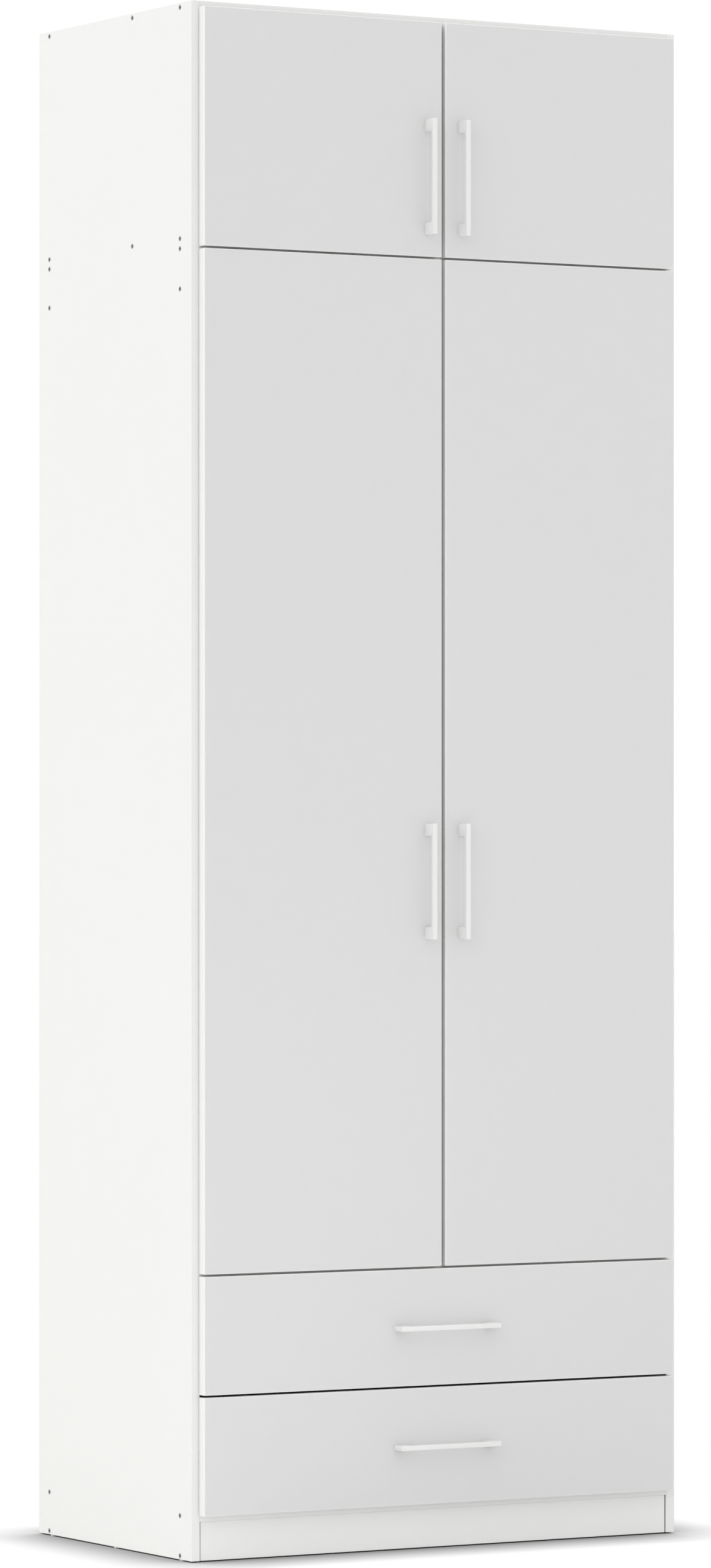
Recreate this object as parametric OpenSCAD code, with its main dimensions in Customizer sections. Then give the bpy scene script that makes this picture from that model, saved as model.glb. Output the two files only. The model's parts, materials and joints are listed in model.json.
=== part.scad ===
// Tall two-door wardrobe with a top box above, two wide drawers below and a plinth.
// Flat-pack construction: 16 mm boards, 18 mm fronts, screwed carcass on a 32 mm hole grid.
// X runs along the front, Y to the back and Z up. All sizes are millimetres.

/* [Carcass] */
// Width over the two side panels
body_w = 912; // [600:1:1200]
// Depth of the side panels
body_d = 522; // [500:1:650]
// Thickness of the carcass boards
board_t = 16; // [15:0.5:19]
// Height of the underside of the bottom panel above the floor
base_h = 64; // [50:1:120]
// Height of the cross rails
rail_h = 64; // [40:1:100]
// Height of the floor glides
glide_h = 2; // [1:0.5:5]
// How far the plinth stands back from the front edge
plinth_recess = 2; // [0:0.5:10]
// Gap at each end of the plinth
plinth_gap = 2; // [0.5:0.5:5]

/* [Back] */
// Thickness of the back sheets
back_t = 3; // [2.5:0.1:5]
// Space left behind the back sheets
back_inset = 10; // [6:1:20]
// Depth of the grooves that hold the back sheets
groove_depth = 7; // [4:0.5:9]

/* [Fronts] */
// Thickness of doors and drawer fronts
front_t = 18; // [16:0.5:22]
// Gap between the carcass and the back of the fronts
front_gap = 1; // [0.8:0.1:3]
// Side panel edge left showing beside the fronts
side_reveal = 13.5; // [12.5:0.1:14]
// Gap between the left and right doors
centre_gap = 7; // [3:0.5:10]
// Gap between fronts that stand one above another
front_seam = 3.5; // [2:0.5:6]
// Height from seam to seam of one drawer front
drawer_pitch = 192; // [180:1:300]
// Height from seam to seam of the main doors
main_pitch = 1632; // [1200:1:1900]
// Height from seam to seam of the top doors
top_pitch = 384; // [300:1:600]

/* [Handles] */
// Overall length of a handle
handle_len = 187; // [175:1:200]
// Distance between the two screws of a handle
handle_screws = 160; // [150:1:166]
// Width of the handle's bar and feet
handle_w = 8; // [7:0.5:12]
// Thickness of the handle's bar
handle_bar_t = 6; // [4:0.5:9]
// How far a handle stands out from its front
handle_reach = 26.5; // [20:0.5:35]
// Length of each foot along the handle
handle_foot = 20; // [18:0.5:24]
// Centre of a door handle from the door's free edge
handle_edge = 28; // [20:1:50]
// Centre of a main door's handle above its lower seam
main_handle_up = 624; // [300:1:900]
// Centre of a top door's handle above its lower seam
top_handle_up = 130; // [110:1:200]

/* [Hinges] */
// Radius of the hinge cup
cup_r = 17.5; // [17:0.1:17.8]
// Depth of the hole for the hinge cup
cup_depth = 12; // [11.5:0.1:12.5]
// Board left between the cup hole and the door's edge
cup_edge = 5; // [4:0.5:6]
// Opening angle of the doors
door_open = 95; // [80:1:95]
// Highest and lowest hinge of a main door, measured from its seams
main_hinge_in = 112; // [80:1:160]
// Hinges of a top door, measured from its seams
top_hinge_in = 80; // [60:1:110]

/* [Drawers] */
// Thickness of the drawer sides and rear
drawer_t = 12; // [12:0.5:16]
// Height of the drawer sides
drawer_side_h = 136; // [100:1:145]
// Underside of a drawer box above its seam line
drawer_lift = 26; // [20:1:32]
// Length of the drawer box behind its front
drawer_len = 470; // [420:1:480]
// Thickness of the drawer bottom
drawer_bottom_t = 3; // [2.5:0.5:5]
// Width of the space that a runner fills on each side
runner_space = 12.5; // [12.5:0.1:13]
// Length of the runners
runner_len = 450; // [400:10:460]
// How far a drawer pulls out
drawer_travel = 340; // [200:10:340]

/* [Inside] */
// Hat shelf below the panel over the main compartment, centre to centre
shelf_drop = 376; // [250:1:500]
// Radius of the clothes rail
rail_r = 12.5; // [10:0.5:15]
// Axis of the clothes rail below the underside of the hat shelf
rail_drop = 60; // [50:1:90]

/* [Fasteners] */
// Front and rear screws from the edges of the side panels
screw_inset = 37; // [30:1:45]
// Middle screws behind the front ones
screw_step = 160; // [96:32:224]
// Radius of a carcass screw's head
screw_head_r = 4; // [3.5:0.1:5]
// Radius of a carcass screw's shank
screw_r = 2.5; // [2:0.1:3.5]
// Length of a carcass screw
screw_len = 50; // [40:1:60]
// Wall fixing brackets to each side of the middle
bracket_x = 380; // [200:1:390]
// Radius of the wall fixing holes
wall_hole_r = 3; // [2.5:0.5:4]

/* [Hidden] */
$fn = 48;
board_colour = "white";
front_colour = [0.97, 0.97, 0.97];
handle_colour = [0.95, 0.95, 0.95];
steel_colour = [0.72, 0.73, 0.75];

// Clearances
fit = 0.05;
slide_fit = 0.4;
groove_fit = 0.3;
shelf_fit = 0.5;

// Seam lines and board levels, from the floor up
line_bottom = base_h + board_t / 2;
line_drawers = line_bottom + drawer_pitch;
line_main = line_drawers + drawer_pitch;
line_box = line_main + main_pitch;
line_top = line_box + top_pitch;
body_h = line_top + board_t / 2;
box_floor_z = line_box + board_t;
upper_rail_z = line_box - board_t / 2 - rail_h;
shelf_z = line_box - shelf_drop;
clothes_rail_z = shelf_z - board_t / 2 - rail_drop;

// Main planes; Y is counted from the front edge of the side panels
inner_x = body_w / 2 - board_t;
front_x = body_w / 2 - side_reveal;
sheet_rear = body_d - back_inset;
sheet_front = sheet_rear - back_t;
front_back_y = -front_gap;
front_face_y = -front_gap - front_t;
y_shift = (handle_reach - front_face_y - body_d) / 2;

// Screw columns and rows of the side panels
column_front = screw_inset;
column_mid = screw_inset + screw_step;
column_rear = body_d - screw_inset;
two_columns = [column_front, column_rear];
three_columns = [column_front, column_mid, column_rear];
rail_screw_up = board_t / 2;
base_screw_z = base_h - rail_h + rail_screw_up;
screw_rows = [
    [line_top, three_columns],
    [box_floor_z, three_columns],
    [line_box, two_columns],
    [upper_rail_z + rail_screw_up, two_columns],
    [line_bottom, two_columns],
    [base_screw_z, two_columns],
];
screw_head_t = 3;
socket_r = 1.8;
socket_depth = 2;
cam_socket_r = 2.8;

// Hinge mechanism, seen from above, counted from the door's hinge edge and back face
cup_x = cup_edge + cup_r;
cup_wall = 1;
cup_floor = 0.8;
cup_flange_t = 0.8;
cup_flange_r = cup_r + 1.5;
cup_wing_h = 26;
cup_screw_in = 22.5;
cup_wing_in = 9.5;
pin_x = 12;
pin_y = -7;
pin_r = 2;
eye_r = 3.2;
link_t = 2.4;
link_h = 9;
link_offset = 10.8;
neck_rise = 2.9;
link_tail = 44;
arm_wall = 2;
arm_start = 6;
arm_len = 58;
plate_y = screw_inset + front_gap;
plate_screws = 16;
plate_t = 3;
plate_d = 16;
plate_h = 50;
link_travel = 9.2;
main_hinges = [
    line_main + main_hinge_in,
    (line_main + line_box) / 2,
    line_box - main_hinge_in,
];
top_hinges = [line_box + top_hinge_in, line_top - top_hinge_in];

// Drawer runners
runner_wall = 1.2;
runner_h = 36;
runner_depth = 9.5;
runner_lip = 5;
inner_half = 11;
flare_half = 15;
runner_y = 2;
runner_up = 34;
hole_pitch = 32;
runner_screw_y = [column_front, column_mid, column_mid + 7 * hole_pitch];
member_screw_y = [column_front + hole_pitch, column_mid + 6 * hole_pitch];
runner_play = 0.9;
member_screw_len = 10;

// Handle and drawer joinery
handle_hole_r = 2.2;
handle_thread_r = 2;
handle_thread_depth = 14;
bottom_groove_up = 10;
bottom_groove_depth = 6;
cam_r = 7.5;
cam_depth = 9;
cam_in = 34;
bolt_r = 3;
bolt_depth = 11;
drawer_box_x = inner_x - runner_space;
drawer_rear_y = front_back_y + drawer_len;

// ---------------------------------------------------------------- helpers

// Moves a piece drawn from the carcass front edge into the part's own frame.
module in_frame() {
    translate([0, y_shift, 0]) children();
}

// A box given by its lowest and highest corners.
module box(low, high) {
    translate(low) cube(high - low);
}

// Draws a left-hand piece as it is, or its mirror image for the right side.
module sided(side) {
    if (side == "left") children();
    else mirror([1, 0, 0]) children();
}

// A cylinder along +X.
module rod_x(r, len) {
    rotate([0, 90, 0]) cylinder(r = r, h = len);
}

// A cylinder along +Y.
module rod_y(r, len) {
    rotate([-90, 0, 0]) cylinder(r = r, h = len);
}

// A hex socket along +X in a head at the origin.
module hex_socket(r) {
    translate([-1, 0, 0]) rotate([0, 90, 0]) cylinder(r = r, h = socket_depth + 1, $fn = 6);
}

// A pan-head screw along +X, its head's underside at the origin.
module wood_screw_x(r, len, head_r, head_t) {
    translate([-head_t, 0, 0]) {
        rod_x(r, head_t + len);
        rod_x(head_r, head_t);
    }
}

// ---------------------------------------------------------------- carcass screws

// One carcass screw driven in +X from the outer face of the left side panel.
module carcass_screw() {
    difference() {
        union() {
            rod_x(screw_head_r, screw_head_t);
            rod_x(screw_r, screw_len);
        }
        hex_socket(socket_r);
    }
}

// The hole for one carcass screw, with the fit clearance all round.
module carcass_screw_hole() {
    translate([-1, 0, 0]) rod_x(screw_head_r + fit, screw_head_t + fit + 1);
    rod_x(screw_r + fit, screw_len + shelf_fit);
}

// Places its children at every screw of the given rows on the left side.
module at_screws(rows) {
    for (row = rows, y = row[1]) translate([-body_w / 2, y, row[0]]) children();
}

// Holes of the given rows on both sides.
module screw_cuts(rows) {
    for (side = ["left", "right"]) sided(side) at_screws(rows) carcass_screw_hole();
}

// ---------------------------------------------------------------- carcass boards

// The notch for the back joint strip in the rear edge of a board.
strip_w = 22;
strip_t = 1;
module strip_notch() {
    box([-strip_w / 2 - fit, sheet_front - strip_t - fit, 0],
        [strip_w / 2 + fit, sheet_front + 1, body_h]);
}

// A fixed cross board between the side panels, ending at the back sheets.
module cross_board(z, rows) {
    difference() {
        box([-inner_x, 0, z - board_t / 2], [inner_x, sheet_front, z + board_t / 2]);
        screw_cuts(rows);
        strip_notch();
    }
}

module side_panel(side) {
    sided(side) difference() {
        box([-body_w / 2, 0, glide_h], [-inner_x, body_d, body_h]);
        at_screws(screw_rows) carcass_screw_hole();
        box([-inner_x - groove_depth, sheet_front, 0],
            [-inner_x + 1, sheet_rear + groove_fit, body_h + 1]);
        at_shelf_pins() translate([-pin_in - shelf_fit, 0, 0]) rod_x(shelf_pin_r + fit, pin_in + 1);
        for (y = two_columns) translate([-inner_x - bolt_depth, y, line_main])
            rod_x(bolt_r + fit, bolt_depth + 1);
    }
}

module side_panel_left() {
    color(board_colour) in_frame() side_panel("left");
}

module side_panel_right() {
    color(board_colour) in_frame() side_panel("right");
}

module top_panel() {
    color(board_colour) in_frame() difference() {
        box([-inner_x, 0, line_top - board_t / 2], [inner_x, body_d, body_h]);
        screw_cuts([screw_rows[0]]);
        box([-inner_x - 1, sheet_front, line_top - board_t / 2 - 1],
            [inner_x + 1, sheet_rear + groove_fit, line_top - board_t / 2 + groove_depth]);
        box([-strip_w / 2 - fit, sheet_front - strip_t - fit, 0],
            [strip_w / 2 + fit, sheet_rear + strip_t + groove_fit, line_top - board_t / 2 + groove_depth]);
    }
}

module top_box_floor() {
    color(board_colour) in_frame() cross_board(box_floor_z, [screw_rows[1]]);
}

module main_top_panel() {
    color(board_colour) in_frame() cross_board(line_box, [screw_rows[2]]);
}

module bottom_panel() {
    color(board_colour) in_frame() cross_board(line_bottom, [screw_rows[4]]);
}

// The panel over the drawers is held by cam locks in its underside.
module drawer_top_panel() {
    color(board_colour) in_frame() difference() {
        cross_board(line_main, []);
        for (side = ["left", "right"], y = two_columns) sided(side) translate([-inner_x, y, line_main]) {
            translate([-1, 0, 0]) rod_x(bolt_r + fit, cam_in + 1);
            translate([cam_in, 0, -board_t / 2 - 1]) cylinder(r = cam_r + fit, h = cam_shelf_depth + 1);
        }
    }
}

// A vertical cross rail, its thickness centred on a screw column.
module cross_rail(y, z_low, z_high, row) {
    difference() {
        box([-inner_x, y - board_t / 2, z_low], [inner_x, y + board_t / 2, z_high]);
        screw_cuts([row]);
    }
}

module upper_rail_front() {
    color(board_colour) in_frame()
        cross_rail(column_front, upper_rail_z, upper_rail_z + rail_h, screw_rows[3]);
}

module upper_rail_rear() {
    color(board_colour) in_frame()
        cross_rail(column_rear, upper_rail_z, upper_rail_z + rail_h, screw_rows[3]);
}

module base_rails() {
    color(board_colour) in_frame() for (y = two_columns)
        cross_rail(y, max(glide_h, base_h - rail_h), base_h, screw_rows[5]);
}

module plinth_board() {
    color(board_colour) in_frame()
        box([-inner_x + plinth_gap, plinth_recess, glide_h],
            [inner_x - plinth_gap, plinth_recess + board_t, base_h]);
}

// ---------------------------------------------------------------- back

strip_gap = 0.8;
sheet_end = shelf_fit;

// One back sheet, from the side groove to the joint strip in the middle.
module back_sheet(side) {
    sided(side) difference() {
        box([-inner_x - groove_depth + sheet_end, sheet_front, line_bottom - board_t / 2],
            [-strip_gap, sheet_rear, line_top - board_t / 2 + groove_depth - sheet_end]);
        translate([-bracket_x, sheet_front - 1, wall_hole_z]) rod_y(wall_hole_r, back_t + 2);
    }
}

module back_sheet_left() {
    color([0.93, 0.93, 0.92]) in_frame() back_sheet("left");
}

module back_sheet_right() {
    color([0.93, 0.93, 0.92]) in_frame() back_sheet("right");
}

// H-section strip that joins the two back sheets.
module back_joint_strip() {
    low = line_bottom - board_t / 2;
    high = line_top - board_t / 2 + groove_depth - sheet_end;
    color("white") in_frame() {
        box([-strip_gap + fit, sheet_front - strip_t, low], [strip_gap - fit, sheet_rear + strip_t, high]);
        box([-strip_w / 2, sheet_front - strip_t, low], [strip_w / 2, sheet_front, high]);
        box([-strip_w / 2, sheet_rear, low], [strip_w / 2, sheet_rear + strip_t, high]);
    }
}

// ---------------------------------------------------------------- shelf and clothes rail

shelf_front_y = 20;
shelf_rear_gap = 4;
shelf_pin_r = 2.5;
pin_in = 8;
pin_out = 8;
cam_shelf_depth = 12.5;

module hat_shelf() {
    color(board_colour) in_frame()
        box([-inner_x + shelf_fit, shelf_front_y, shelf_z - board_t / 2],
            [inner_x - shelf_fit, sheet_front - shelf_rear_gap, shelf_z + board_t / 2]);
}

// Places its children at the shelf pins of the left side, on its inner face.
module at_shelf_pins() {
    for (y = two_columns)
        translate([-inner_x, y, shelf_z - board_t / 2 - shelf_pin_r]) children();
}

// Pins under the hat shelf, and the cam locks of the panel over the drawers.
module shelf_fittings() {
    color(steel_colour) in_frame() for (side = ["left", "right"]) sided(side) {
        at_shelf_pins() translate([-pin_in, 0, 0]) rod_x(shelf_pin_r, pin_in + pin_out);
        for (y = two_columns) translate([-inner_x, y, line_main]) {
            difference() {
                translate([cam_in, 0, -board_t / 2]) cylinder(r = cam_r, h = cam_shelf_depth);
                rod_x(bolt_r + fit, cam_in + 1);
                translate([cam_in, 0, -board_t / 2]) rotate([0, -90, 0]) hex_socket(cam_socket_r);
            }
            translate([-bolt_depth + fit, 0, 0]) rod_x(bolt_r, bolt_depth + cam_in - fit);
        }
    }
}

socket_flange_r = 25;
socket_flange_t = 3;
socket_wall = 3;
socket_collar_len = 14;
rail_wall = 1.2;
rail_y = 255;

module clothes_rail() {
    len = 2 * (inner_x - socket_flange_t - shelf_fit);
    color(steel_colour) in_frame() translate([-len / 2, rail_y, clothes_rail_z]) difference() {
        rod_x(rail_r, len);
        translate([-1, 0, 0]) rod_x(rail_r - rail_wall, len + 2);
    }
}

module rail_sockets() {
    color(steel_colour) in_frame() for (side = ["left", "right"]) sided(side)
        translate([-inner_x, rail_y, clothes_rail_z]) difference() {
            union() {
                rod_x(socket_flange_r, socket_flange_t);
                rod_x(rail_r + socket_wall, socket_collar_len);
            }
            translate([socket_flange_t, 0, 0]) rod_x(rail_r + fit, socket_collar_len);
            for (z = [-1, 1])
                translate([-1, 0, z * socket_screw_z]) rod_x(small_screw_r, socket_flange_t + 2);
        }
}

// ---------------------------------------------------------------- screws of the carcass

small_screw_r = 1.75;
small_head_r = 3.5;
small_head_t = 1.8;
small_screw_len = 13;
socket_screw_z = 20;
nail_r = 0.8;
nail_head_r = 2.5;
nail_head_t = 0.6;
nail_len = 16;
nails_per_sheet = 4;
plinth_screw_len = 40;
plinth_screw_x = [-300, 0, 300];

module confirmat_screws() {
    color(steel_colour) in_frame() for (side = ["left", "right"]) sided(side)
        at_screws(screw_rows) carcass_screw();
}

// A small screw driven in -X into the left side panel from a face at x.
module side_screw(x) {
    translate([x, 0, 0]) mirror([1, 0, 0])
        wood_screw_x(small_screw_r, small_screw_len, small_head_r, small_head_t);
}

// Small screws of the hinge plates, runners, rail sockets, wall brackets and plinth, and the back nails.
module fitting_screws() {
    nail_span = inner_x - 2 * screw_inset;
    color(steel_colour) in_frame() for (x = plinth_screw_x)
        translate([x, plinth_recess + board_t / 2, base_h + board_t]) rotate([0, 90, 0])
            wood_screw_x(small_screw_r, plinth_screw_len, small_head_r, small_head_t);
    color(steel_colour) in_frame() for (side = ["left", "right"]) sided(side) {
        for (z = concat(main_hinges, top_hinges), s = [-1, 1])
            translate([-inner_x, screw_inset, z + s * plate_screws]) side_screw(plate_t);
        for (line = [line_bottom, line_drawers], y = runner_screw_y)
            translate([-inner_x, y, line + runner_up + drawer_lift]) side_screw(runner_wall);
        for (s = [-1, 1])
            translate([-inner_x, rail_y, clothes_rail_z + s * socket_screw_z]) side_screw(socket_flange_t);
        for (s = [-1, 1])
            translate([
                -bracket_x + s * bracket_screw_x, bracket_screw_y, line_top - board_t / 2 - bracket_t
            ])
                rotate([0, -90, 0])
                    wood_screw_x(small_screw_r, small_screw_len, small_head_r, small_head_t);
        for (z = [box_floor_z, line_main, line_bottom], i = [0:nails_per_sheet - 1])
            translate([-screw_inset - nail_span * i / (nails_per_sheet - 1), sheet_rear, z])
                rotate([0, 0, -90]) wood_screw_x(nail_r, nail_len, nail_head_r, nail_head_t);
    }
}

// ---------------------------------------------------------------- glides and wall brackets

glide_r = 6;
glide_in = 40;

module floor_glides() {
    color([0.85, 0.85, 0.85]) in_frame()
        for (x = [-1, 1], y = [glide_in, body_d / 2, body_d - glide_in])
            translate([x * (body_w / 2 - board_t / 2), y, 0]) cylinder(r = glide_r, h = glide_h);
}

bracket_w = 30;
bracket_leg = 40;
bracket_t = 2.5;
bracket_screw_x = 8;
bracket_screw_in = 28;
bracket_screw_y = sheet_front - bracket_screw_in;
wall_hole_down = 25;
wall_hole_z = line_top - board_t / 2 - wall_hole_down;

// Steel angles under the top panel; a wall screw passes through each and its back sheet.
module wall_brackets() {
    under = line_top - board_t / 2;
    color(steel_colour) in_frame() for (x = [-1, 1]) translate([x * bracket_x, 0, 0]) difference() {
        union() {
            box([-bracket_w / 2, sheet_front - bracket_t, under - bracket_leg],
                [bracket_w / 2, sheet_front, under]);
            box([-bracket_w / 2, sheet_front - bracket_leg, under - bracket_t],
                [bracket_w / 2, sheet_front, under]);
        }
        translate([0, sheet_front - bracket_t - 1, wall_hole_z]) rod_y(wall_hole_r, bracket_t + 2);
        for (s = [-1, 1]) translate([s * bracket_screw_x, bracket_screw_y, under - bracket_t - 1])
            cylinder(r = small_screw_r, h = bracket_t + 2);
    }
}

// ---------------------------------------------------------------- hinges

// Moves a hinge piece from its own axes to the hinge edge of a left door at height z.
module at_hinge(z) {
    translate([-front_x, front_back_y, z]) children();
}

// Distance from the hinge edge of a door to the inner face of its side panel.
panel_face = board_t - side_reveal;
tail_x = pin_x + link_offset;

// Mounting plate with its tower, and the hollow arm on it.
module hinge_arm() {
    arm_half = link_t / 2 + slide_fit + arm_wall;
    tower_top = tail_x - arm_half;
    difference() {
        union() {
            box([panel_face, plate_y - plate_d / 2, -plate_h / 2],
                [panel_face + plate_t, plate_y + plate_d / 2, plate_h / 2]);
            box([panel_face, plate_y - plate_d / 2, -link_h / 2 - arm_wall],
                [tower_top, plate_y + plate_d, link_h / 2 + arm_wall]);
        }
        for (s = [-1, 1]) translate([panel_face - 1, plate_y, s * plate_screws])
            rod_x(small_screw_r, plate_t + 2);
    }
    difference() {
        box([tower_top, arm_start, -link_h / 2 - slide_fit - arm_wall],
            [tail_x + arm_half, arm_start + arm_len, link_h / 2 + slide_fit + arm_wall]);
        box([tail_x - link_t / 2 - slide_fit, arm_start - 1, -link_h / 2 - slide_fit],
            [tail_x + link_t / 2 + slide_fit, arm_start + arm_len + 1, link_h / 2 + slide_fit]);
    }
}

module hinge_arms() {
    color(steel_colour) in_frame() for (side = ["left", "right"]) sided(side)
        for (z = concat(main_hinges, top_hinges)) at_hinge(z) hinge_arm();
}

// The link: an eye on the cup's pin, a bent neck, and a straight tail in the arm.
module hinge_link() {
    half = link_t / 2;
    difference() {
        union() {
            translate([pin_x, pin_y, -link_h / 2]) cylinder(r = eye_r, h = link_h);
            translate([0, 0, -link_h / 2]) linear_extrude(link_h) polygon([
                [pin_x, pin_y - half],
                [tail_x + half, pin_y + neck_rise - half],
                [tail_x + half, pin_y + neck_rise + link_tail],
                [tail_x - half, pin_y + neck_rise + link_tail],
                [tail_x - half, pin_y + neck_rise + half],
                [pin_x, pin_y + half],
            ]);
        }
        translate([pin_x, pin_y, -link_h / 2 - 1]) cylinder(r = pin_r + fit, h = link_h + 2);
    }
}

module hinge_links(side, heights) {
    color(steel_colour) in_frame() sided(side) for (z = heights) at_hinge(z) hinge_link();
}

// Cup let into the door, with its flange and wings, and the pin that the link turns on.
module hinge_cup() {
    inner_r = cup_r - fit - cup_wall;
    difference() {
        union() {
            translate([cup_x, 0, 0]) rotate([90, 0, 0]) cylinder(r = cup_r - fit, h = cup_depth - fit);
            translate([cup_x, cup_flange_t, 0]) rotate([90, 0, 0])
                cylinder(r = cup_flange_r, h = cup_flange_t);
            box([cup_x, 0, -cup_wing_h], [cup_x + cup_r, cup_flange_t, cup_wing_h]);
        }
        translate([cup_x, cup_flange_t + 1, 0]) rotate([90, 0, 0])
            cylinder(r = inner_r, h = cup_depth + cup_flange_t + 1 - cup_floor);
        for (s = [-1, 1]) translate([cup_x + cup_wing_in, -1, s * cup_screw_in])
            rod_y(small_screw_r, cup_flange_t + 2);
    }
    intersection() {
        translate([pin_x, pin_y, -cup_r]) cylinder(r = pin_r, h = 2 * cup_r);
        translate([cup_x, 0, 0]) rotate([90, 0, 0]) cylinder(r = cup_r - fit, h = cup_depth);
    }
}

module hinge_cups(side, heights) {
    color(steel_colour) in_frame() sided(side) for (z = heights) at_hinge(z) hinge_cup();
}

// ---------------------------------------------------------------- handles

// A handle along Z on a front's face at y = 0, standing out towards -Y.
module pull_handle() {
    foot_z = (handle_len - handle_foot) / 2;
    difference() {
        union() {
            box([-handle_w / 2, -handle_reach, -handle_len / 2],
                [handle_w / 2, -handle_reach + handle_bar_t, handle_len / 2]);
            for (s = [-1, 1]) translate([-handle_w / 2, -handle_reach, s * foot_z - handle_foot / 2])
                cube([handle_w, handle_reach, handle_foot]);
        }
        for (s = [-1, 1]) translate([0, -handle_thread_depth, s * handle_screws / 2])
            rod_y(handle_thread_r + fit, handle_thread_depth + 1);
    }
}

// A machine screw from the back of a front into the handle, head on the front's back face.
module handle_screw() {
    head_r = 4;
    head_t = 2.2;
    tip = front_t + handle_thread_depth - 2;
    translate([0, front_t - tip, 0]) rod_y(handle_thread_r, tip);
    translate([0, front_t, 0]) rod_y(head_r, head_t);
}

// Places its children at a handle's two screws, along Z.
module at_handle_screws() {
    for (s = [-1, 1]) translate([0, 0, s * handle_screws / 2]) children();
}

door_handle_x = -centre_gap / 2 - handle_edge;
main_handle_z = line_main + main_handle_up;
top_handle_z = line_box + top_handle_up;

module at_door_handle(side, z) {
    color(handle_colour) in_frame() sided(side) translate([door_handle_x, front_face_y, z]) children();
}

// ---------------------------------------------------------------- doors

// A door between two seam lines, drilled for its hinge cups and handle.
module door(side, low_line, high_line, heights, handle_z) {
    color(front_colour) in_frame() sided(side) difference() {
        box([-front_x, front_face_y, low_line + front_seam / 2],
            [-centre_gap / 2, front_back_y, high_line - front_seam / 2]);
        for (z = heights) at_hinge(z) translate([cup_x, 1, 0]) rotate([90, 0, 0])
            cylinder(r = cup_r, h = cup_depth + 1);
        translate([door_handle_x, front_face_y - 1, handle_z]) at_handle_screws()
            rod_y(handle_hole_r, front_t + 2);
    }
}

// Screws of a door: two for its handle and two for each hinge cup.
module door_screws(side, heights, handle_z) {
    color(steel_colour) in_frame() sided(side) {
        translate([door_handle_x, front_face_y, handle_z]) at_handle_screws() handle_screw();
        for (z = heights, s = [-1, 1])
            at_hinge(z) translate([cup_x + cup_wing_in, cup_flange_t, s * cup_screw_in]) rotate([0, 0, -90])
                wood_screw_x(small_screw_r, small_screw_len, small_head_r, small_head_t);
    }
}

module door_main_left() { door("left", line_main, line_box, main_hinges, main_handle_z); }
module door_main_right() { door("right", line_main, line_box, main_hinges, main_handle_z); }
module door_top_left() { door("left", line_box, line_top, top_hinges, top_handle_z); }
module door_top_right() { door("right", line_box, line_top, top_hinges, top_handle_z); }

module handle_main_left() { at_door_handle("left", main_handle_z) pull_handle(); }
module handle_main_right() { at_door_handle("right", main_handle_z) pull_handle(); }
module handle_top_left() { at_door_handle("left", top_handle_z) pull_handle(); }
module handle_top_right() { at_door_handle("right", top_handle_z) pull_handle(); }

module cups_main_left() { hinge_cups("left", main_hinges); }
module cups_main_right() { hinge_cups("right", main_hinges); }
module cups_top_left() { hinge_cups("left", top_hinges); }
module cups_top_right() { hinge_cups("right", top_hinges); }

module door_screws_main_left() { door_screws("left", main_hinges, main_handle_z); }
module door_screws_main_right() { door_screws("right", main_hinges, main_handle_z); }
module door_screws_top_left() { door_screws("left", top_hinges, top_handle_z); }
module door_screws_top_right() { door_screws("right", top_hinges, top_handle_z); }

module links_main_left() { hinge_links("left", main_hinges); }
module links_main_right() { hinge_links("right", main_hinges); }
module links_top_left() { hinge_links("left", top_hinges); }
module links_top_right() { hinge_links("right", top_hinges); }

// ---------------------------------------------------------------- drawers

// Moves a drawer piece from its seam line into place.
module at_drawer(line) {
    in_frame() translate([0, 0, line]) children();
}

// The space of the drawer bottom, grown by a clearance.
module bottom_space(gap) {
    reach = bottom_groove_depth - shelf_fit + gap;
    box([-drawer_box_x + drawer_t - reach, front_back_y - reach, drawer_lift + bottom_groove_up - gap],
        [drawer_box_x - drawer_t + reach, drawer_rear_y,
         drawer_lift + bottom_groove_up + drawer_bottom_t + gap]);
}

// Places its children at the two cam locks on the inner face of the left drawer side.
module at_drawer_cams() {
    for (share = joint_rows)
        translate([-drawer_box_x + drawer_t, front_back_y, drawer_lift + drawer_side_h * share]) children();
}

// Places its children at the two rear screws on the outer face of the left drawer side.
module at_rear_screws() {
    for (share = joint_rows)
        translate([-drawer_box_x, drawer_rear_y - drawer_t / 2, drawer_lift + drawer_side_h * share])
            children();
}

// Heights of the corner joints, as shares of the height of the sides
joint_rows = [0.3, 0.75];
rear_screw_len = 40;
drawer_cam_depth = 8.5;

// A drawer front with its handle holes, bolt holes and the groove for the bottom.
module drawer_front(line) {
    color(front_colour) at_drawer(line) difference() {
        box(
            [-front_x, front_face_y, front_seam / 2],
            [front_x, front_back_y, drawer_pitch - front_seam / 2]
        );
        translate([0, front_face_y - 1, drawer_pitch / 2]) rotate([0, 90, 0]) at_handle_screws()
            rod_y(handle_hole_r, front_t + 2);
        bottom_space(fit);
        for (side = ["left", "right"]) sided(side) at_drawer_cams()
            translate([-drawer_t / 2, -bolt_depth, 0]) rod_y(bolt_r + fit, bolt_depth + 1);
    }
}

module drawer_side(side, line) {
    color(board_colour) at_drawer(line) sided(side) difference() {
        box([-drawer_box_x, front_back_y, drawer_lift],
            [-drawer_box_x + drawer_t, drawer_rear_y, drawer_lift + drawer_side_h]);
        bottom_space(fit);
        at_drawer_cams() {
            translate([-drawer_t / 2, -1, 0]) rod_y(bolt_r + fit, cam_in + 1);
            translate([-drawer_cam_depth, cam_in, 0]) rod_x(cam_r + fit, drawer_cam_depth + 1);
        }
        at_rear_screws() {
            translate([-1, 0, 0]) rod_x(screw_head_r + fit, screw_head_t + fit + 1);
            rod_x(screw_r + fit, rear_screw_len);
        }
    }
}

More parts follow.
